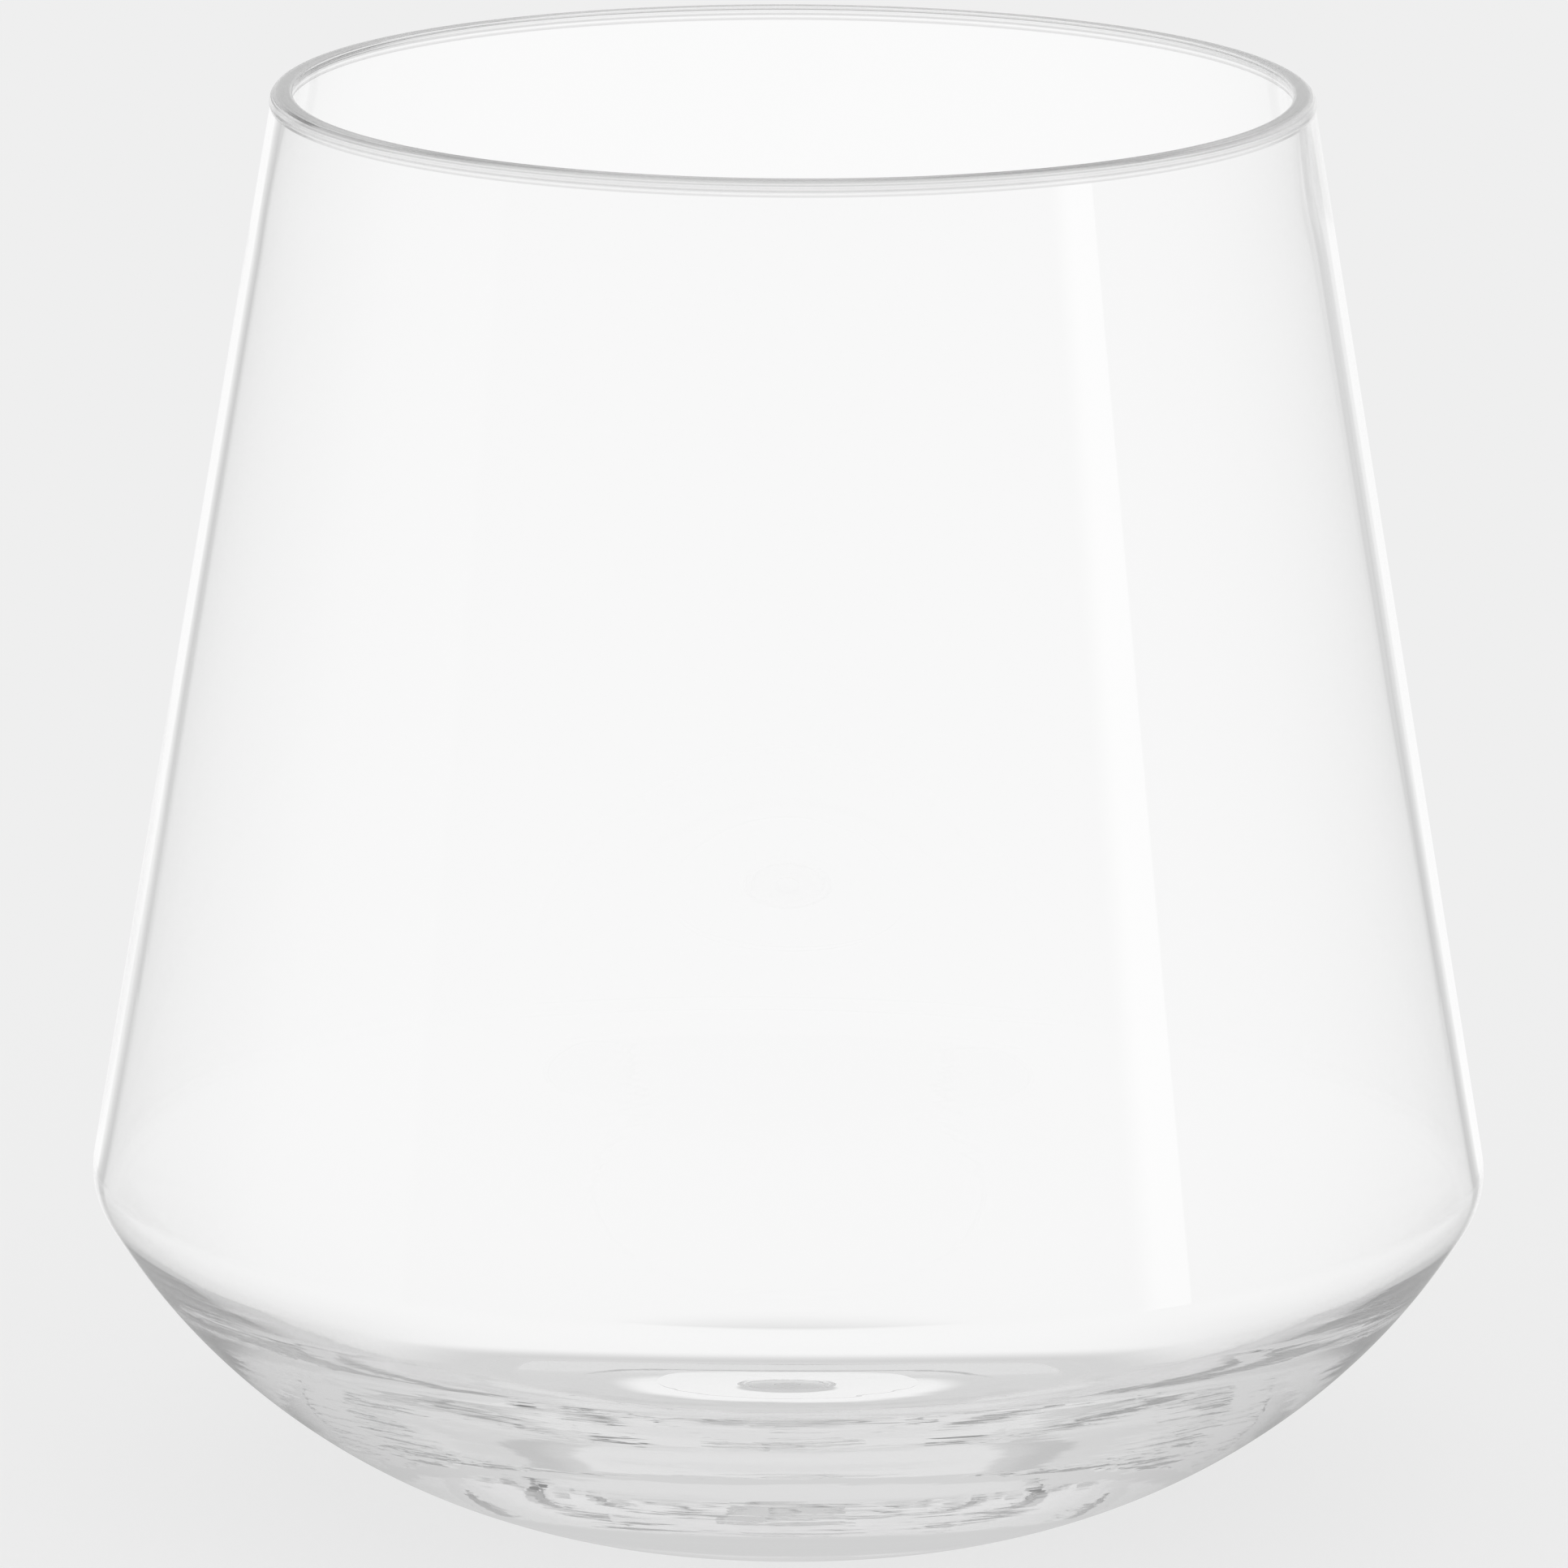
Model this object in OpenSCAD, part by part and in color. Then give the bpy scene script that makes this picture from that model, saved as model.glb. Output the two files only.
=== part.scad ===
// Stemless wine glass, clear moulded plastic, one piece.
// The axis is Z. The origin is at the centre of the ring that the glass stands on.
// The body is one revolved section: outline, cavity, turned rim and recessed underside.

/* [Outline] */
// Height from the table to the top of the rim
height = 101.6; // [85:0.2:116]
// Widest outer diameter, low on the bowl
belly_d = 100; // [90:0.5:112]
// Height of the widest circle above the table
belly_height = 23.4; // [20:0.1:27]
// Outer diameter at the rim, before its edge is rounded
rim_d = 73.6; // [60:0.2:84]
// Outer diameter of the ring that the glass stands on
foot_d = 46.4; // [40:0.2:52]
// Radius of the long arc that rises from the foot to the belly
bowl_arc_r = 48; // [42:0.5:54]
// Radius of the tight turn from that arc into the straight wall
belly_turn_r = 5; // [3:0.1:6.5]

/* [Cavity] */
// Thickness of the wall just under the rim
rim_wall = 1.4; // [1.2:0.05:2.2]
// Thickness of the wall at the belly
belly_wall = 1.05; // [0.85:0.05:1.4]
// Radius of the inner turn behind the belly
cavity_turn_r = 3.5; // [2.5:0.1:4.5]
// Drop of the inner turn's centre below the widest circle
cavity_turn_drop = 0.6; // [0.2:0.05:1]
// Angle below the horizontal at which the inner turn ends
cavity_turn_end = 33; // [28:0.5:37]
// Radius of the short arc under the inner turn
cavity_shoulder_r = 22.5; // [18:0.5:27]
// Radius of the long arc from there down to the floor
cavity_low_r = 48; // [44:0.5:52]
// Thickness of the floor on the axis, measured from the table
floor_t = 4.2; // [3.2:0.1:5.5]
// Radius of the floor's shallow dish
floor_dish_r = 550; // [300:10:800]

/* [Rim] */
// Radius of the turned outer edge of the rim
rim_outer_edge_r = 0.75; // [0.4:0.05:0.9]
// How far the turned edge stands proud of the wall
rim_bead = 0.15; // [0.05:0.05:0.3]
// Radius of the broken inner edge of the rim
rim_inner_edge_r = 0.2; // [0.1:0.05:0.5]
// Number of flats that the turned outer edge is cut in
rim_flats = 6; // [3:1:8]

/* [Underside] */
// Width of the flat ring that touches the table
foot_land = 2; // [1.4:0.1:3]
// Radius of the small rounding outside the standing ring
foot_edge_r = 1.2; // [0.6:0.1:1.8]
// Height of the underside's dome on the axis
recess_depth = 1.5; // [1.1:0.05:2]
// Diameter of the flat pad that the mould's base insert leaves
pad_d = 19.6; // [16:0.2:24]
// Step of that pad below the dome
pad_step = 0.2; // [0.1:0.05:0.35]
// Outer diameter of the raised gate ring
gate_ring_d = 7.4; // [6:0.1:9]
// Width of the gate ring
gate_ring_w = 0.9; // [0.5:0.05:1.3]
// Height of the gate ring below the pad
gate_ring_h = 0.25; // [0.1:0.05:0.35]
// Diameter of the trimmed gate pip on the axis
gate_pip_d = 2; // [1.4:0.1:2.6]
// Height of the gate pip below the pad
gate_pip_h = 0.45; // [0.2:0.05:0.55]

/* [Hidden] */

// Largest distance between an arc and the chords that draw it
arc_error = 0.004;
// Sides of the revolved body
turn_sides = 180;

belly_r = belly_d / 2;
rim_r = rim_d / 2;
foot_r = foot_d / 2;

// Polar angle of point p seen from c, in degrees
function bearing(c, p) = atan2(p.y - c.y, p.x - c.x);

// Point at radius r and angle a round c
function around(c, r, a) = c + r * [cos(a), sin(a)];

// Unit vector from a to b
function toward(a, b) = (b - a) / norm(b - a);

// Points of an arc from angle a0 to a1, with chords that keep to arc_error
function arc(c, r, a0, a1) =
    let (
        widest = 2 * acos(1 - min(arc_error / r, 1)),
        steps = max(2, ceil(abs(a1 - a0) / widest))
    )
    [for (i = [0 : steps]) around(c, r, a0 + (a1 - a0) * i / steps)];

// Points where circles (a, ra) and (b, rb) cross, the higher one
function crossing(a, ra, b, rb) =
    let (
        span = norm(b - a),
        along = (ra * ra - rb * rb + span * span) / (2 * span),
        aside = sqrt(ra * ra - along * along),
        u = toward(a, b),
        one = a + along * u + aside * [-u.y, u.x],
        other = a + along * u - aside * [-u.y, u.x]
    )
    one.y > other.y ? one : other;

// Where a straight wall from p touches circle (c, r) on its outer side
function wall_touch(p, c, r) = around(c, r, bearing(c, p) - acos(r / norm(p - c)));

// Outline: foot arc, belly turn and straight wall
foot_point = [foot_r, 0];
rim_point = [rim_r, height];
turn_c = [belly_r - belly_turn_r, belly_height];
bowl_c = crossing(turn_c, bowl_arc_r - belly_turn_r, foot_point, bowl_arc_r);
bowl_end = turn_c + belly_turn_r * toward(bowl_c, turn_c);
wall_start = wall_touch(rim_point, turn_c, belly_turn_r);
lean = bearing(turn_c, wall_start);

// The rounding between the standing ring and the bowl arc touches both
foot_edge_c = let (
        reach = bowl_arc_r - foot_edge_r,
        rise = bowl_c.y - foot_edge_r
    )
    [bowl_c.x + sqrt(reach * reach - rise * rise), foot_edge_r];

// Cavity: straight wall, inner turn, shoulder, long low arc and dished floor
mouth_point = [rim_r - rim_wall / cos(lean), height];
cavity_turn_c = [belly_r - belly_wall - cavity_turn_r, belly_height - cavity_turn_drop];
cavity_wall_end = wall_touch(mouth_point, cavity_turn_c, cavity_turn_r);
cavity_lean = bearing(cavity_turn_c, cavity_wall_end);
shoulder_c = around(cavity_turn_c, cavity_turn_r - cavity_shoulder_r, -cavity_turn_end);
floor_c = [0, floor_t + floor_dish_r];
low_c = let (
        inner = cavity_low_r - cavity_shoulder_r,
        outer = floor_dish_r - cavity_low_r,
        span = norm(floor_c - shoulder_c),
        along = (inner * inner - outer * outer + span * span) / (2 * span),
        aside = sqrt(inner * inner - along * along),
        u = toward(shoulder_c, floor_c)
    )
    shoulder_c + along * u + aside * [-u.y, u.x];

// Rim: the crown is flat between its two edges, and the outer one ends in a bead on the wall
edge_inside = rim_outer_edge_r - rim_bead;
outer_edge_c = [
    rim_r + (rim_outer_edge_r * sin(lean) - edge_inside) / cos(lean),
    height - rim_outer_edge_r
];
bead_end = lean - acos(edge_inside / rim_outer_edge_r);
inner_edge_c = [
    mouth_point.x + rim_inner_edge_r * (1 + sin(cavity_lean)) / cos(cavity_lean),
    height - rim_inner_edge_r
];

// Underside: a shallow dome inside the standing ring, with the gate marks on its pad
land_r = foot_edge_c.x - foot_land;
dome_r = (land_r * land_r + recess_depth * recess_depth) / (2 * recess_depth);
dome_c = [0, recess_depth - dome_r];
pad_r = pad_d / 2;
pad_edge = [pad_r, dome_c.y + sqrt(dome_r * dome_r - pad_r * pad_r)];
pad_z = pad_edge.y - pad_step;
ring_r = gate_ring_d / 2;
ring_low = pad_z - gate_ring_h;
pip_r = gate_pip_d / 2;
pip_low = pad_z - gate_pip_h;

// The outer surface, from the standing ring up to the crown
function outline_points() = concat(
    arc(foot_edge_c, foot_edge_r, -90, bearing(bowl_c, foot_edge_c)),
    arc(bowl_c, bowl_arc_r, bearing(bowl_c, foot_edge_c), bearing(bowl_c, bowl_end)),
    arc(turn_c, belly_turn_r, bearing(turn_c, bowl_end), lean),
    [for (i = [0 : rim_flats]) around(
        outer_edge_c, rim_outer_edge_r, bead_end + (90 - bead_end) * i / rim_flats)]
);

// The inner surface, from the crown down to the centre of the floor
function cavity_points() = concat(
    arc(inner_edge_c, rim_inner_edge_r, 90, 180 + cavity_lean),
    arc(cavity_turn_c, cavity_turn_r, cavity_lean, -cavity_turn_end),
    arc(shoulder_c, cavity_shoulder_r, -cavity_turn_end, bearing(low_c, shoulder_c)),
    arc(low_c, cavity_low_r, bearing(low_c, shoulder_c), bearing(floor_c, low_c)),
    arc(floor_c, floor_dish_r, bearing(floor_c, low_c), -90)
);

// The underside, from the gate pip out to the standing ring
function underside_points() = concat(
    [
        [0, pip_low],
        [pip_r, pip_low],
        [pip_r, pad_z],
        [ring_r - gate_ring_w, pad_z],
        [ring_r - gate_ring_w / 2, ring_low],
        [ring_r, pad_z],
        [pad_r, pad_z]
    ],
    arc(dome_c, dome_r, bearing(dome_c, pad_edge), bearing(dome_c, [land_r, 0]))
);

// The whole glass: one moulded piece
module glass_body() {
    color([0.93, 0.95, 0.96, 0.35])
    rotate_extrude($fn = turn_sides)
    polygon(concat(underside_points(), outline_points(), cavity_points()));
}

glass_body();
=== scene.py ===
import math

import bmesh
import bpy
import numpy as np
from mathutils import Matrix, Vector, noise


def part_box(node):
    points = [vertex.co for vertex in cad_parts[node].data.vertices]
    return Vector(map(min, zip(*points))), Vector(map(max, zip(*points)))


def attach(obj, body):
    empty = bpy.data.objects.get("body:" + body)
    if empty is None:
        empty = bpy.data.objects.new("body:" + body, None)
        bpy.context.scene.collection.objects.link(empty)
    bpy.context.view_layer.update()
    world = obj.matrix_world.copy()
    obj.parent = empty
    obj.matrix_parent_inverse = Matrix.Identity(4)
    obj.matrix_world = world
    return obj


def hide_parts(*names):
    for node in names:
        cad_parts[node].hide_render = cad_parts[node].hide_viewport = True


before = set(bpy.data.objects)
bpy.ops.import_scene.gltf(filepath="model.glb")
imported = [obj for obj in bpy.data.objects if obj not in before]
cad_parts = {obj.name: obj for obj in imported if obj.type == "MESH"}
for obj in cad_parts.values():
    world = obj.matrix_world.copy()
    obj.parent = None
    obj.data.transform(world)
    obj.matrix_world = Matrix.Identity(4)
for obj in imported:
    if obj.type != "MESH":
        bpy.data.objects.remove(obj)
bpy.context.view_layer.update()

MM = 0.001

# Camera: one metre away, a little above the rim, with a long lens
CAMERA_AT = Vector((0.0, -975.3 * MM, 270.8 * MM))
CAMERA_PITCH = math.radians(12.69)
CAMERA_YAW = math.radians(-0.025)
CAMERA_ROLL = math.radians(0.24)
CAMERA_LENS = 320.7
CAMERA_SENSOR = 36.0

# Section of the glass, the same sizes as the model's own
BOX_HIGH = Vector(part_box("glass_body")[1])
HEIGHT = BOX_HIGH.z
BELLY_R = BOX_HIGH.x
BELLY_HEIGHT = 23.4 * MM
RIM_R = 36.8 * MM
FOOT_R = 23.2 * MM
BOWL_ARC_R = 48.0 * MM
BELLY_TURN_R = 5.0 * MM
RIM_WALL = 1.4 * MM
BELLY_WALL = 1.05 * MM
CAVITY_TURN_R = 3.5 * MM
CAVITY_TURN_DROP = 0.6 * MM
CAVITY_TURN_END = math.radians(-33)
CAVITY_SHOULDER_R = 22.5 * MM
CAVITY_LOW_R = 48.0 * MM
FLOOR_T = 4.2 * MM
FLOOR_DISH_R = 550.0 * MM
RIM_OUTER_EDGE_R = 0.75 * MM
RIM_INNER_EDGE_R = 0.2 * MM
RIM_BEAD = 0.15 * MM
RIM_FLATS = 6
FOOT_LAND = 2.0 * MM
FOOT_EDGE_R = 1.2 * MM
RECESS_DEPTH = 1.5 * MM
PAD_R = 9.8 * MM
PAD_STEP = 0.2 * MM
GATE_RING_R = 3.7 * MM
GATE_RING_W = 0.9 * MM
GATE_RING_H = 0.25 * MM
GATE_PIP_R = 1.0 * MM
GATE_PIP_H = 0.45 * MM
GATE_PIP_EDGE_R = 0.12 * MM

# How finely the visible body is meshed, the angle from which an edge of it looks sharp, and tolerances
TURN_STEPS = 384
SHARP_ANGLE = math.radians(14)
SAME_POINT = 1e-6 * MM
GATE_MARGIN = 0.01 * MM

# Waves of the free-formed inner surface: their size on the wall, in the bowl and on the floor
WAVE_WALL = 0.012 * MM
WAVE_BOWL = 0.05 * MM
WAVE_FLOOR = 0.02 * MM
# Heights between which the wall's waves turn into the bowl's, and radii where these turn into the floor's
WAVE_TO_BOWL = (34 * MM, 20 * MM)
WAVE_TO_FLOOR = (22 * MM, 8 * MM)
# The waves are a sum. For each: its share, its scale round the axis, its scale away from the foot's centre
# and its place in the noise
WAVES = (
    (0.7, 1.6, 40, (3.1, 1.7)),
    (0.3, 2.4, 130, (7.7, 0.3)),
    (0.14, 1.5, 420, (1.9, 5.3)),
)

# The inner surface sits a little to the left, so the wall is thinner there: the heights say where this grows
# above the belly, and where it ends under the rim
CAVITY_SHIFT = 0.24 * MM
SHIFT_GROWS = (24 * MM, 60 * MM)
SHIFT_ENDS = (101 * MM, 92 * MM)

# The clear plastic. It glows faintly inside with painted light, so long ways through it tend to a plain
# grey: what it takes up per metre, and that grey
REFRACTION = 1.57
ABSORPTION = 1.8
GLOW_GREY = 0.62
GATE_ROUGHNESS = 0.30

# Roughness of the turned rim, its painted shade (a dark crown, a paler bead, and light and dark stripes
# along the bead's grooves), and the grooves that the tool left on it: fine ones, and WIDE_GROOVE as many
# wider ones over them
RIM_ROUGHNESS = 0.14
CROWN_PAINTED_SHADE = 0.28
BEAD_PAINTED_SHADE = 0.84
GROOVE_PAINTED_STRIPES = 0.11
GROOVE_SPACING = 0.27 * MM
GROOVE_DEPTH = 0.0016 * MM
WIDE_GROOVE = 0.6
# Where the bead's painted shade takes over from the crown's darker one, and where the rim's painted shade
# begins at its inner edge.
# These are radii on the crown, and below it the drop is added to the radius.
BEAD_SPAN = (RIM_R - 0.6 * MM, RIM_R + 0.5 * MM)
INNER_EDGE_SPAN = (RIM_R - 1.3 * MM, RIM_R - 1.1 * MM)

# Fine flow lines round the bowl's surface: their spacing and height, their scale round the axis, and the
# heights and radii where they set in
FLOW_SPACING = 1.6 * MM
FLOW_HEIGHT = 0.012 * MM
FLOW_ROUND = 3.0
FLOW_DETAIL = 2.0
FLOW_FINE = 0.45
FLOW_BELOW = (22 * MM, 14 * MM)
FLOW_OUTSIDE = (11 * MM, 18 * MM)
NEAR_AXIS = 1 * MM

# Light levels of the studio, where 1 is white
BACKGROUND = 0.863
BACK_PANEL = 0.985
GAP_EDGE = 0.74
GAP = 0.60
SIDES = 0.80
ROOM = 0.756
CEILING = 0.60
STRIP = 1.6
LEFT_STRIP = ROOM + 0.12
# For rays out of the base's total reflections: the share of that light, and dark boards at the sides
DEEP_SHARE = 0.80
BOARD = 0.12
# For rays that the bowl's own back wall mirrored
MIRRORED = 0.73
# Painted on the table: shade at the glass's sides, and under it, for rays that go straight through, shade
# under the gate, light under the pad and shadow under the foot, and for all others shadow under the bowl
FLANK_PAINTED_SHADE = 0.45
GATE_PAINTED_SHADE = 0.55
PAD_PAINTED_LIGHT = 1.0
FOOT_PAINTED_SHADOW = 0.62
BOWL_PAINTED_SHADOW = 0.69

# Where the levels change, in degrees on the plan from straight behind the glass, alike on both sides
PANEL_ENDS = (20, 22)
GAP_DARKENS = (22, 26)
SIDES_START = (28, 30)
ROOM_STARTS = (40, 70)
BOARD_STARTS = (62, 78)
BOARD_ENDS = (128, 112)
FLANK_STARTS = (42, 56)
FLANK_ENDS = (150, 120)
# The same for the strips, but from straight before the glass, with the right side as plus
STRIP_STARTS = (57, 63)
STRIP_ENDS = (68.5, 68)
LEFT_STARTS = (-64, -66)
LEFT_ENDS = (-110, -90)
# Degrees above the horizon
CEILING_STARTS = (38, 50)

# Light Path counts a ray's hits on the plastic. The counts are whole, so these limits lie between them.
# More hits than DEEP: the ray comes out of the base's total reflections
DEEP = 7.5
# Fewer hits than STRAIGHT: it goes straight through the wall and the floor
STRAIGHT = 4.5
# More reflections than NO_MIRROR: the plastic mirrored it
NO_MIRROR = 0.5
# More passages in and out than ONE_WALL: it went through more than one wall
ONE_WALL = 2.5

# The table: its disc, the half width of the part behind the glass that glows bright with painted light, and
# radii where its painted shade and light change
TABLE_R = 250 * MM
TABLE_STEPS = 96
TABLE_PANEL = 46 * MM
FLANK_REACH = (130 * MM, 60 * MM)
GATE_SPOT = (3.4 * MM, 4.0 * MM)
PAD_SPOT = (11 * MM, 14 * MM)
FOOT_SPOT = (24 * MM, 34 * MM)
# Near the glass the camera sees this share of the table as even light, and the rest takes the shadow
PLAIN_SHARE = 0.88
SHADOW_FADES = (60 * MM, 220 * MM)

# Light goes through the clear base by many total reflections
BOUNCES = 96


# Plane geometry of the section: points are (radius, height)
def bearing(c, p):
    return math.atan2(p[1] - c[1], p[0] - c[0])


def around(c, r, a):
    return np.array((c[0] + r * math.cos(a), c[1] + r * math.sin(a)))


def toward(a, b):
    return (b - a) / np.linalg.norm(b - a)


def arc(c, r, a0, a1, steps):
    return [around(c, r, a) for a in np.linspace(a0, a1, steps + 1)]


def line(a, b, steps):
    return [a + (b - a) * t for t in np.linspace(0, 1, steps + 1)]


def crossings(a, ra, b, rb):
    span = np.linalg.norm(b - a)
    along = (ra * ra - rb * rb + span * span) / (2 * span)
    aside = math.sqrt(ra * ra - along * along)
    u = toward(a, b)
    left = np.array((-u[1], u[0]))
    return a + along * u + aside * left, a + along * u - aside * left


def wall_touch(p, c, r):
    return around(c, r, bearing(c, p) - math.acos(r / np.linalg.norm(p - c)))


def joined(*runs):
    """Runs of points in one list, without the point that two runs share."""
    points = []
    for run in runs:
        for p in run:
            if not points or np.linalg.norm(p - points[-1]) > SAME_POINT:
                points.append(p)
    return points


def section():
    """The outside from the axis under the foot to the crown, and the cavity back to the axis.

    The last number of each arc and line is its count of steps.
    """
    rim_point = np.array((RIM_R, HEIGHT))
    turn_c = np.array((BELLY_R - BELLY_TURN_R, BELLY_HEIGHT))
    foot_point = np.array((FOOT_R, 0.0))
    pair = crossings(turn_c, BOWL_ARC_R - BELLY_TURN_R, foot_point, BOWL_ARC_R)
    bowl_c = max(pair, key=lambda c: c[1])
    bowl_end = turn_c + BELLY_TURN_R * toward(bowl_c, turn_c)
    wall_start = wall_touch(rim_point, turn_c, BELLY_TURN_R)
    lean = bearing(turn_c, wall_start)

    reach = BOWL_ARC_R - FOOT_EDGE_R
    rise = bowl_c[1] - FOOT_EDGE_R
    foot_edge_c = np.array((bowl_c[0] + math.sqrt(reach * reach - rise * rise), FOOT_EDGE_R))
    inside = RIM_OUTER_EDGE_R - RIM_BEAD
    outer_edge_c = np.array((
        RIM_R + (RIM_OUTER_EDGE_R * math.sin(lean) - inside) / math.cos(lean),
        HEIGHT - RIM_OUTER_EDGE_R))
    bead_end = lean - math.acos(inside / RIM_OUTER_EDGE_R)

    mouth = np.array((RIM_R - RIM_WALL / math.cos(lean), HEIGHT))
    cavity_turn_c = np.array((
        BELLY_R - BELLY_WALL - CAVITY_TURN_R, BELLY_HEIGHT - CAVITY_TURN_DROP))
    cavity_wall_end = wall_touch(mouth, cavity_turn_c, CAVITY_TURN_R)
    cavity_lean = bearing(cavity_turn_c, cavity_wall_end)
    shoulder_c = around(cavity_turn_c, CAVITY_TURN_R - CAVITY_SHOULDER_R, CAVITY_TURN_END)
    floor_c = np.array((0.0, FLOOR_T + FLOOR_DISH_R))
    low_c = crossings(
        shoulder_c, CAVITY_LOW_R - CAVITY_SHOULDER_R, floor_c, FLOOR_DISH_R - CAVITY_LOW_R)[0]
    shoulder_end = bearing(low_c, shoulder_c)
    low_end = bearing(floor_c, low_c)
    inner_edge_c = np.array((
        mouth[0] + RIM_INNER_EDGE_R * (1 + math.sin(cavity_lean)) / math.cos(cavity_lean),
        HEIGHT - RIM_INNER_EDGE_R))

    land_r = foot_edge_c[0] - FOOT_LAND
    dome_r = (land_r ** 2 + RECESS_DEPTH ** 2) / (2 * RECESS_DEPTH)
    dome_c = np.array((0.0, RECESS_DEPTH - dome_r))
    pad_edge = np.array((PAD_R, dome_c[1] + math.sqrt(dome_r ** 2 - PAD_R ** 2)))
    pad_z = pad_edge[1] - PAD_STEP
    gate_mid = GATE_RING_R - GATE_RING_W / 2
    pip_edge_c = (GATE_PIP_R - GATE_PIP_EDGE_R, pad_z - GATE_PIP_H + GATE_PIP_EDGE_R)

    under = joined(
        [np.array((0.0, pad_z - GATE_PIP_H))],
        arc(pip_edge_c, GATE_PIP_EDGE_R, -math.pi / 2, 0, 4),
        line(np.array((GATE_PIP_R, pad_z)), np.array((gate_mid - GATE_RING_W / 2, pad_z)), 4),
        [np.array((gate_mid + GATE_RING_W / 2 * t, pad_z - GATE_RING_H * math.cos(t * math.pi / 2)))
         for t in np.linspace(-1, 1, 13)],
        line(np.array((GATE_RING_R, pad_z)), np.array((PAD_R, pad_z)), 12),
        arc(dome_c, dome_r, bearing(dome_c, pad_edge), bearing(dome_c, (land_r, 0.0)), 24),
        line(np.array((land_r, 0.0)), np.array((foot_edge_c[0], 0.0)), 3))
    outside = joined(
        arc(foot_edge_c, FOOT_EDGE_R, -math.pi / 2, bearing(bowl_c, foot_edge_c), 8),
        arc(bowl_c, BOWL_ARC_R, bearing(bowl_c, foot_edge_c), bearing(bowl_c, bowl_end), 60),
        arc(turn_c, BELLY_TURN_R, bearing(turn_c, bowl_end), lean, 28),
        line(wall_start, around(outer_edge_c, RIM_OUTER_EDGE_R, bead_end), 40))
    rim = joined(
        arc(outer_edge_c, RIM_OUTER_EDGE_R, bead_end, math.pi / 2, RIM_FLATS),
        line(np.array((outer_edge_c[0], HEIGHT)), np.array((inner_edge_c[0], HEIGHT)), 6),
        arc(inner_edge_c, RIM_INNER_EDGE_R, math.pi / 2, math.pi + cavity_lean, 6))
    cavity = joined(
        line(around(inner_edge_c, RIM_INNER_EDGE_R, math.pi + cavity_lean), cavity_wall_end, 60),
        arc(cavity_turn_c, CAVITY_TURN_R, cavity_lean, CAVITY_TURN_END, 32),
        arc(shoulder_c, CAVITY_SHOULDER_R, CAVITY_TURN_END, shoulder_end, 40),
        arc(low_c, CAVITY_LOW_R, shoulder_end, low_end, 120),
        arc(floor_c, FLOOR_DISH_R, low_end, -math.pi / 2, 24))
    return under, outside, rim, cavity


def between(value, low, high):
    """A smooth step from 0 at low to 1 at high."""
    t = min(max((value - low) / (high - low), 0), 1)
    return t * t * (3 - 2 * t)


def wave(r, z, angle):
    """Height of the inner surface's waves at radius r and height z, at an angle round the axis."""
    size = WAVE_WALL + (WAVE_BOWL - WAVE_WALL) * between(z, *WAVE_TO_BOWL)
    size += (WAVE_FLOOR - size) * between(r, *WAVE_TO_FLOOR)
    turn = Vector((math.cos(angle), math.sin(angle), 0))
    away = math.hypot(r, z)
    total = 0.0
    for share, scale_round, scale_away, (x, y) in WAVES:
        total += share * noise.noise(turn * scale_round + Vector((x, y, away * scale_away)))
    return size * total


def glass_mesh():
    under, outside, rim, cavity = section()
    points = joined(under, outside, rim, cavity)
    first_rim = len(joined(under, outside)) - 1
    last_rim = first_rim + len(rim) - 1
    last_gate = max(i for i, p in enumerate(under) if p[0] <= GATE_RING_R + GATE_MARGIN)
    count = len(points)
    grid = np.array(points)
    tangent = np.gradient(grid, axis=0)
    tangent /= np.linalg.norm(tangent, axis=1)[:, None]
    normal = np.column_stack((tangent[:, 1], -tangent[:, 0]))

    body = bmesh.new()
    rings = []
    for i in range(count):
        r, z = grid[i]
        if i in (0, count - 1):
            rings.append([body.verts.new((0, 0, z))])
            continue
        ring = []
        for j in range(TURN_STEPS):
            angle = 2 * math.pi * j / TURN_STEPS
            lift = 0.0
            shift = 0.0
            if i > last_rim + 1:
                lift = wave(r, z, angle)
                shift = CAVITY_SHIFT * between(z, *SHIFT_GROWS) * between(z, *SHIFT_ENDS)
            rr, zz = r + normal[i, 0] * lift, z + normal[i, 1] * lift
            ring.append(body.verts.new((rr * math.cos(angle) - shift, rr * math.sin(angle), zz)))
        rings.append(ring)
    for i in range(count - 1):
        a, b = rings[i], rings[i + 1]
        for j in range(TURN_STEPS):
            k = (j + 1) % TURN_STEPS
            if len(a) == 1:
                face = body.faces.new((a[0], b[k], b[j]))
            elif len(b) == 1:
                face = body.faces.new((a[j], a[k], b[0]))
            else:
                face = body.faces.new((a[j], a[k], b[k], b[j]))
            face.smooth = True
            if first_rim <= i < last_rim:
                face.material_index = 1
            if i < last_gate:
                face.material_index = 2
    bmesh.ops.recalc_face_normals(body, faces=body.faces)
    mesh = bpy.data.meshes.new("glass_clear_body")
    body.to_mesh(mesh)
    body.free()
    mesh.set_sharp_from_angle(angle=SHARP_ANGLE)
    return mesh


# Node helpers
def add(tree, kind, **values):
    node = tree.nodes.new(kind)
    for key, value in values.items():
        setattr(node, key, value)
    return node


def math_node(tree, operation, *inputs):
    node = add(tree, "ShaderNodeMath", operation=operation)
    for socket, value in zip(node.inputs, inputs):
        if hasattr(value, "is_linked"):
            tree.links.new(value, socket)
        else:
            socket.default_value = value
    return node.outputs[0]


def ramp(tree, value, low, high):
    """A smooth step from 0 at low to 1 at high."""
    node = add(tree, "ShaderNodeMapRange", interpolation_type="SMOOTHSTEP", clamp=True)
    tree.links.new(value, node.inputs["Value"])
    node.inputs["From Min"].default_value = low
    node.inputs["From Max"].default_value = high
    return node.outputs["Result"]


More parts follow.
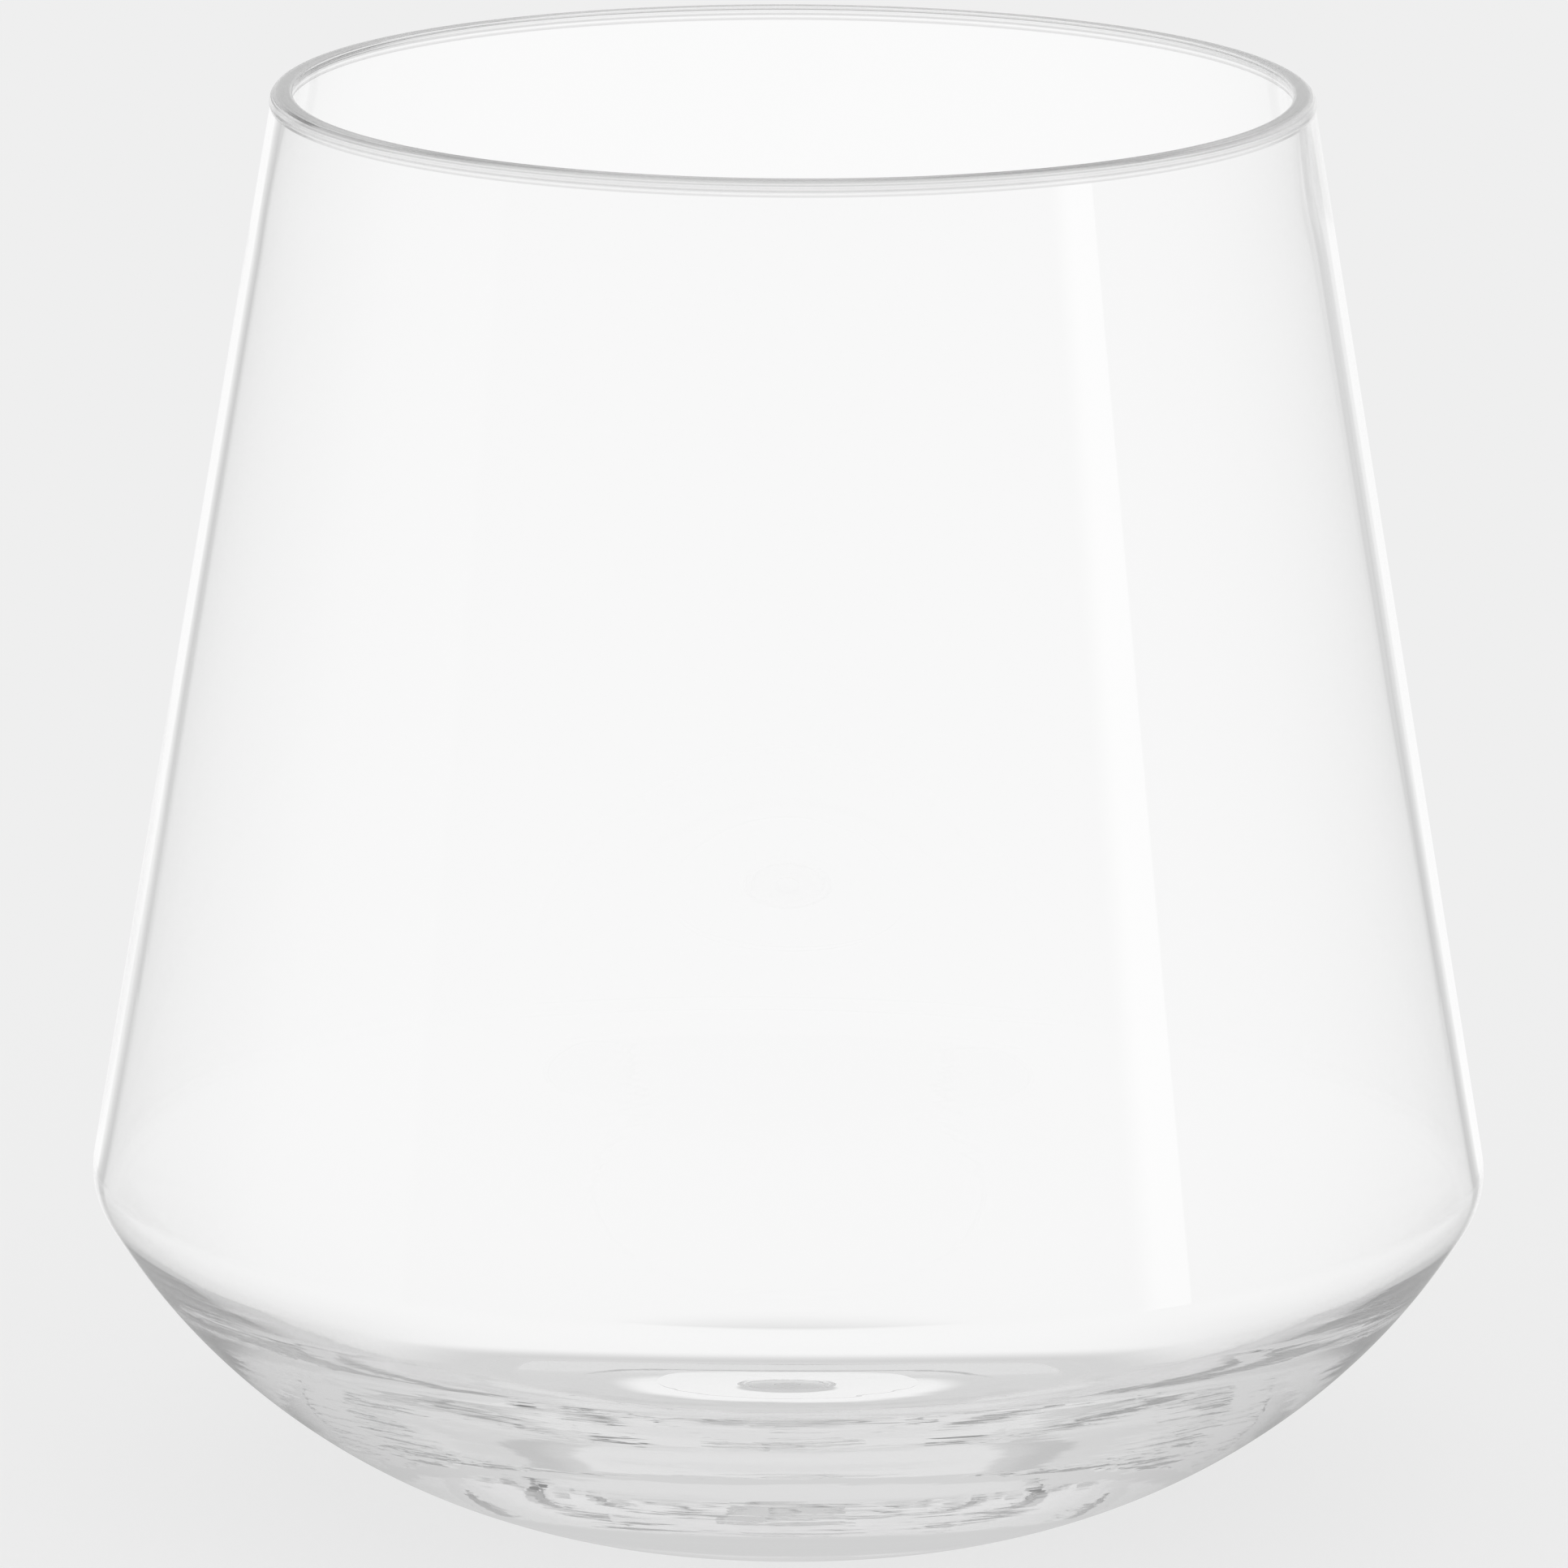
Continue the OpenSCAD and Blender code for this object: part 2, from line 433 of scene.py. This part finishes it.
def turn_ramp(tree, angle, low, high):
    """The same step for an angle, with low and high in degrees."""
    return ramp(tree, angle, math.radians(low), math.radians(high))


def both(tree, one, other):
    """1 where both masks are 1."""
    return math_node(tree, "MULTIPLY", one, other)


def coordinates(tree, output):
    """The x, y and z of one kind of coordinates."""
    place = add(tree, "ShaderNodeTexCoord")
    split = add(tree, "ShaderNodeSeparateXYZ")
    tree.links.new(place.outputs[output], split.inputs[0])
    return split.outputs


def axis_distance(tree, x, y):
    square = math_node(tree, "ADD", math_node(tree, "MULTIPLY", x, x), math_node(tree, "MULTIPLY", y, y))
    return math_node(tree, "SQRT", square)


def raise_surface(tree, shader, height, distance):
    """Bump on the shader, with height 1 at the given distance."""
    bump = add(tree, "ShaderNodeBump")
    bump.inputs["Strength"].default_value = 1.0
    bump.inputs["Distance"].default_value = distance
    tree.links.new(height, bump.inputs["Height"])
    tree.links.new(bump.outputs[0], shader.inputs["Normal"])


def mix_level(tree, mask, base, level):
    """base where mask is 0, level where it is 1."""
    step = math_node(tree, "SUBTRACT", level, base)
    return math_node(tree, "MULTIPLY_ADD", step, mask, base)


def clear_plastic(name, roughness):
    """The clear plastic, glowing faintly inside with painted light: material, node tree and shader."""
    material = bpy.data.materials.new(name)
    material.use_nodes = True
    tree = material.node_tree
    shader = tree.nodes["Principled BSDF"]
    shader.inputs["Base Color"].default_value = (1, 1, 1, 1)
    shader.inputs["Transmission Weight"].default_value = 1.0
    shader.inputs["IOR"].default_value = REFRACTION
    shader.inputs["Roughness"].default_value = roughness
    absorb = add(tree, "ShaderNodeVolumeAbsorption")
    absorb.inputs["Color"].default_value = (0, 0, 0, 1)
    absorb.inputs["Density"].default_value = ABSORPTION
    # Painted light: an emission inside the plastic, so that long ways through it come out a plain grey
    inner_glow = add(tree, "ShaderNodeEmission")
    inner_glow.inputs["Strength"].default_value = ABSORPTION * GLOW_GREY
    volume = add(tree, "ShaderNodeAddShader")
    tree.links.new(absorb.outputs[0], volume.inputs[0])
    tree.links.new(inner_glow.outputs[0], volume.inputs[1])
    tree.links.new(volume.outputs[0], tree.nodes["Material Output"].inputs["Volume"])
    return material, tree, shader


def wall_material():
    """The moulded wall, with fine flow lines round the bowl."""
    material, tree, shader = clear_plastic("clear_copolyester", 0.0)
    x, y, z = coordinates(tree, "Object")
    radius = math_node(tree, "MAXIMUM", axis_distance(tree, x, y), NEAR_AXIS)
    way = add(tree, "ShaderNodeCombineXYZ")
    tree.links.new(math_node(tree, "DIVIDE", x, radius), way.inputs[0])
    tree.links.new(math_node(tree, "DIVIDE", y, radius), way.inputs[1])
    along = math_node(tree, "ADD", radius, z)
    tree.links.new(math_node(tree, "DIVIDE", along, FLOW_ROUND * FLOW_SPACING), way.inputs[2])
    flow = add(tree, "ShaderNodeTexNoise")
    flow.inputs["Scale"].default_value = FLOW_ROUND
    flow.inputs["Detail"].default_value = FLOW_DETAIL
    flow.inputs["Roughness"].default_value = FLOW_FINE
    tree.links.new(way.outputs[0], flow.inputs["Vector"])
    place = both(tree, ramp(tree, z, *FLOW_BELOW), ramp(tree, radius, *FLOW_OUTSIDE))
    height = math_node(tree, "MULTIPLY", flow.outputs[0], place)
    raise_surface(tree, shader, height, FLOW_HEIGHT)
    return material


def rim_material():
    """The cut rim: rings left by the tool, and painted shade in its colour: a dark crown, a paler bead,
    stripes on the bead.
    """
    material, tree, shader = clear_plastic("turned_rim", RIM_ROUGHNESS)
    x, y, z = coordinates(tree, "Object")
    path = math_node(tree, "ADD", math_node(tree, "SUBTRACT", axis_distance(tree, x, y), z), HEIGHT)
    turn = 2 * math.pi / GROOVE_SPACING
    fine = math_node(tree, "SINE", math_node(tree, "MULTIPLY", path, turn))
    wide = math_node(tree, "SINE", math_node(tree, "MULTIPLY", path, turn * WIDE_GROOVE))
    groove = math_node(tree, "ADD", fine, wide)
    raise_surface(tree, shader, groove, GROOVE_DEPTH)
    # Painted shade in the base colour: the crown dark, the bead paler, with lighter and darker stripes along
    # its grooves
    bead = ramp(tree, path, *BEAD_SPAN)
    rim_shade = mix_level(tree, bead, CROWN_PAINTED_SHADE, BEAD_PAINTED_SHADE)
    bead_stripes = math_node(tree, "MULTIPLY", groove, bead)
    rim_shade = math_node(tree, "MULTIPLY_ADD", bead_stripes, GROOVE_PAINTED_STRIPES, rim_shade)
    rim_shade = mix_level(tree, ramp(tree, path, *INNER_EDGE_SPAN), 1.0, rim_shade)
    tree.links.new(rim_shade, shader.inputs["Base Color"])
    return material


def gate_material():
    """The gate disc that the mould's base insert leaves has a satin finish."""
    return clear_plastic("satin_pad", GATE_ROUGHNESS)[0]


def panels(tree, side):
    """Level of the studio by the angle from the back: a bright panel, a gap, and the room beyond."""
    level = mix_level(tree, turn_ramp(tree, side, *PANEL_ENDS), BACK_PANEL, GAP_EDGE)
    level = mix_level(tree, turn_ramp(tree, side, *GAP_DARKENS), level, GAP)
    level = mix_level(tree, turn_ramp(tree, side, *SIDES_START), level, SIDES)
    return mix_level(tree, turn_ramp(tree, side, *ROOM_STARTS), level, ROOM)


def strips(tree, strip_side, level):
    """A strip light on the right of the camera and a wide dim one on the left."""
    right = both(
        tree, turn_ramp(tree, strip_side, *STRIP_STARTS), turn_ramp(tree, strip_side, *STRIP_ENDS))
    level = mix_level(tree, right, level, STRIP)
    left = both(tree, turn_ramp(tree, strip_side, *LEFT_STARTS), turn_ramp(tree, strip_side, *LEFT_ENDS))
    return mix_level(tree, left, level, LEFT_STRIP)


def even_level(tree, path, level):
    """The bowl as its own back wall mirrors it comes out even: one level for such rays."""
    mirrored = math_node(tree, "GREATER_THAN", path.outputs["Glossy Depth"], NO_MIRROR)
    through = math_node(tree, "GREATER_THAN", path.outputs["Transmission Depth"], ONE_WALL)
    return mix_level(tree, both(tree, mirrored, through), level, MIRRORED)


def deep_level(tree, path, side, level):
    """What rays see that leave the base after many reflections: less light, and dark boards at the sides."""
    deep = math_node(tree, "GREATER_THAN", path.outputs["Ray Depth"], DEEP)
    board = both(tree, turn_ramp(tree, side, *BOARD_STARTS), turn_ramp(tree, side, *BOARD_ENDS))
    seen = mix_level(tree, board, math_node(tree, "MULTIPLY", level, DEEP_SHARE), BOARD)
    return mix_level(tree, deep, level, seen)


def direction(tree, x, y):
    """Angles on the plan: from straight behind, without a sign, and from straight before, with one."""
    side = math_node(tree, "ABSOLUTE", math_node(tree, "ARCTAN2", x, y))
    strip_side = math_node(tree, "ARCTAN2", x, math_node(tree, "MULTIPLY", y, -1.0))
    return side, strip_side


def studio_world():
    """The light all round: plain levels by direction, and a pale background for the camera."""
    world = bpy.data.worlds.new("studio")
    bpy.context.scene.world = world
    world.use_nodes = True
    tree = world.node_tree
    shader = tree.nodes["Background"]
    shader.inputs["Color"].default_value = (1, 1, 1, 1)
    x, y, z = coordinates(tree, "Generated")
    path = add(tree, "ShaderNodeLightPath")
    side, strip_side = direction(tree, x, y)
    level = panels(tree, side)
    lit = strips(tree, strip_side, level)
    level = mix_level(tree, path.outputs["Is Transmission Ray"], lit, level)
    above = turn_ramp(tree, math_node(tree, "ARCSINE", z), *CEILING_STARTS)
    level = mix_level(tree, above, level, CEILING)
    level = deep_level(tree, path, side, level)
    level = even_level(tree, path, level)
    level = mix_level(tree, path.outputs["Is Diffuse Ray"], level, 1.0)
    level = mix_level(tree, path.outputs["Is Camera Ray"], level, BACKGROUND)
    tree.links.new(level, shader.inputs["Strength"])


def floor():
    """The table glows: it goes on with the studio's levels as painted light, with painted shade beside the
    glass and painted light and shadow under it; the camera sees it even, with a faint real shadow.
    """
    mesh = bpy.data.meshes.new("floor")
    turns = [2 * math.pi * i / TABLE_STEPS for i in range(TABLE_STEPS)]
    corners = [(TABLE_R * math.cos(a), TABLE_R * math.sin(a), 0) for a in turns]
    mesh.from_pydata(corners, [], [range(TABLE_STEPS)])
    thing = bpy.data.objects.new("floor", mesh)
    bpy.context.scene.collection.objects.link(thing)
    material = bpy.data.materials.new("pale_floor")
    material.use_nodes = True
    tree = material.node_tree
    tree.nodes.remove(tree.nodes["Principled BSDF"])
    out = tree.nodes["Material Output"]
    path = add(tree, "ShaderNodeLightPath")
    x, y, _ = coordinates(tree, "Object")
    # Painted light: seen through the glass, the table carries the studio's panel levels, bright behind the
    # glass
    out_x = math_node(tree, "SUBTRACT", math_node(tree, "ABSOLUTE", x), TABLE_PANEL)
    side = math_node(tree, "ARCTAN2", math_node(tree, "MAXIMUM", out_x, 0.0), y)
    radius = axis_distance(tree, x, y)
    turn, _ = direction(tree, x, y)
    # Painted shade on the table at the glass's sides, for rays that were mirrored or went through one wall
    # only
    shaded_flank = both(tree, turn_ramp(tree, turn, *FLANK_STARTS), turn_ramp(tree, turn, *FLANK_ENDS))
    shaded_flank = both(tree, shaded_flank, ramp(tree, radius, *FLANK_REACH))
    mirrored = math_node(tree, "GREATER_THAN", path.outputs["Glossy Depth"], NO_MIRROR)
    once = math_node(tree, "LESS_THAN", path.outputs["Transmission Depth"], ONE_WALL)
    shaded_flank = both(tree, shaded_flank, math_node(tree, "MAXIMUM", mirrored, once))
    level = mix_level(tree, shaded_flank, panels(tree, side), FLANK_PAINTED_SHADE)
    # Painted under the glass: shade under the gate, light under the pad and shadow under the foot for rays
    # that go straight through, and shadow under the bowl for all others
    under_glass_paint = mix_level(tree, ramp(tree, radius, *GATE_SPOT), GATE_PAINTED_SHADE, PAD_PAINTED_LIGHT)
    under_glass_paint = mix_level(tree, ramp(tree, radius, *PAD_SPOT), under_glass_paint, FOOT_PAINTED_SHADOW)
    straight = math_node(tree, "LESS_THAN", path.outputs["Ray Depth"], STRAIGHT)
    under_glass_paint = mix_level(tree, straight, BOWL_PAINTED_SHADOW, under_glass_paint)
    level = mix_level(tree, ramp(tree, radius, *FOOT_SPOT), under_glass_paint, level)
    level = deep_level(tree, path, turn, level)
    level = even_level(tree, path, level)
    level = mix_level(tree, path.outputs["Is Camera Ray"], level, BACKGROUND)
    glow = add(tree, "ShaderNodeEmission")
    tree.links.new(level, glow.inputs["Strength"])
    plain = add(tree, "ShaderNodeBsdfDiffuse")
    plain.inputs["Color"].default_value = (BACKGROUND, BACKGROUND, BACKGROUND, 1)
    share = mix_level(tree, ramp(tree, radius, *SHADOW_FADES), PLAIN_SHARE, 1.0)
    shown = math_node(tree, "MULTIPLY", path.outputs["Is Camera Ray"], share)
    shown = math_node(tree, "MAXIMUM", shown, path.outputs["Is Transmission Ray"])
    shown = math_node(tree, "MAXIMUM", shown, path.outputs["Is Glossy Ray"])
    mix = add(tree, "ShaderNodeMixShader")
    tree.links.new(shown, mix.inputs[0])
    tree.links.new(plain.outputs[0], mix.inputs[1])
    tree.links.new(glow.outputs[0], mix.inputs[2])
    tree.links.new(mix.outputs[0], out.inputs["Surface"])
    mesh.materials.append(material)


def camera():
    forward = Vector((
        math.sin(CAMERA_YAW) * math.cos(CAMERA_PITCH),
        math.cos(CAMERA_YAW) * math.cos(CAMERA_PITCH),
        -math.sin(CAMERA_PITCH)))
    level = forward.cross(Vector((0, 0, 1))).normalized()
    up = level.cross(forward)
    right = level * math.cos(CAMERA_ROLL) + up * math.sin(CAMERA_ROLL)
    top = up * math.cos(CAMERA_ROLL) - level * math.sin(CAMERA_ROLL)
    turned = Matrix((right, top, -forward)).transposed().to_4x4()
    data = bpy.data.cameras.new("camera")
    data.lens = CAMERA_LENS
    data.sensor_width = CAMERA_SENSOR
    thing = bpy.data.objects.new("camera", data)
    thing.matrix_world = Matrix.Translation(CAMERA_AT) @ turned
    bpy.context.scene.collection.objects.link(thing)
    bpy.context.scene.camera = thing


def glass():
    thing = bpy.data.objects.new("glass_clear_body", glass_mesh())
    bpy.context.scene.collection.objects.link(thing)
    thing.data.materials.append(wall_material())
    thing.data.materials.append(rim_material())
    thing.data.materials.append(gate_material())
    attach(thing, "root")
    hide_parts("glass_body")


camera()
studio_world()
floor()
glass()
bpy.context.scene.view_settings.view_transform = "Standard"
bpy.context.scene.cycles.max_bounces = BOUNCES
bpy.context.scene.cycles.glossy_bounces = BOUNCES
bpy.context.scene.cycles.transmission_bounces = BOUNCES
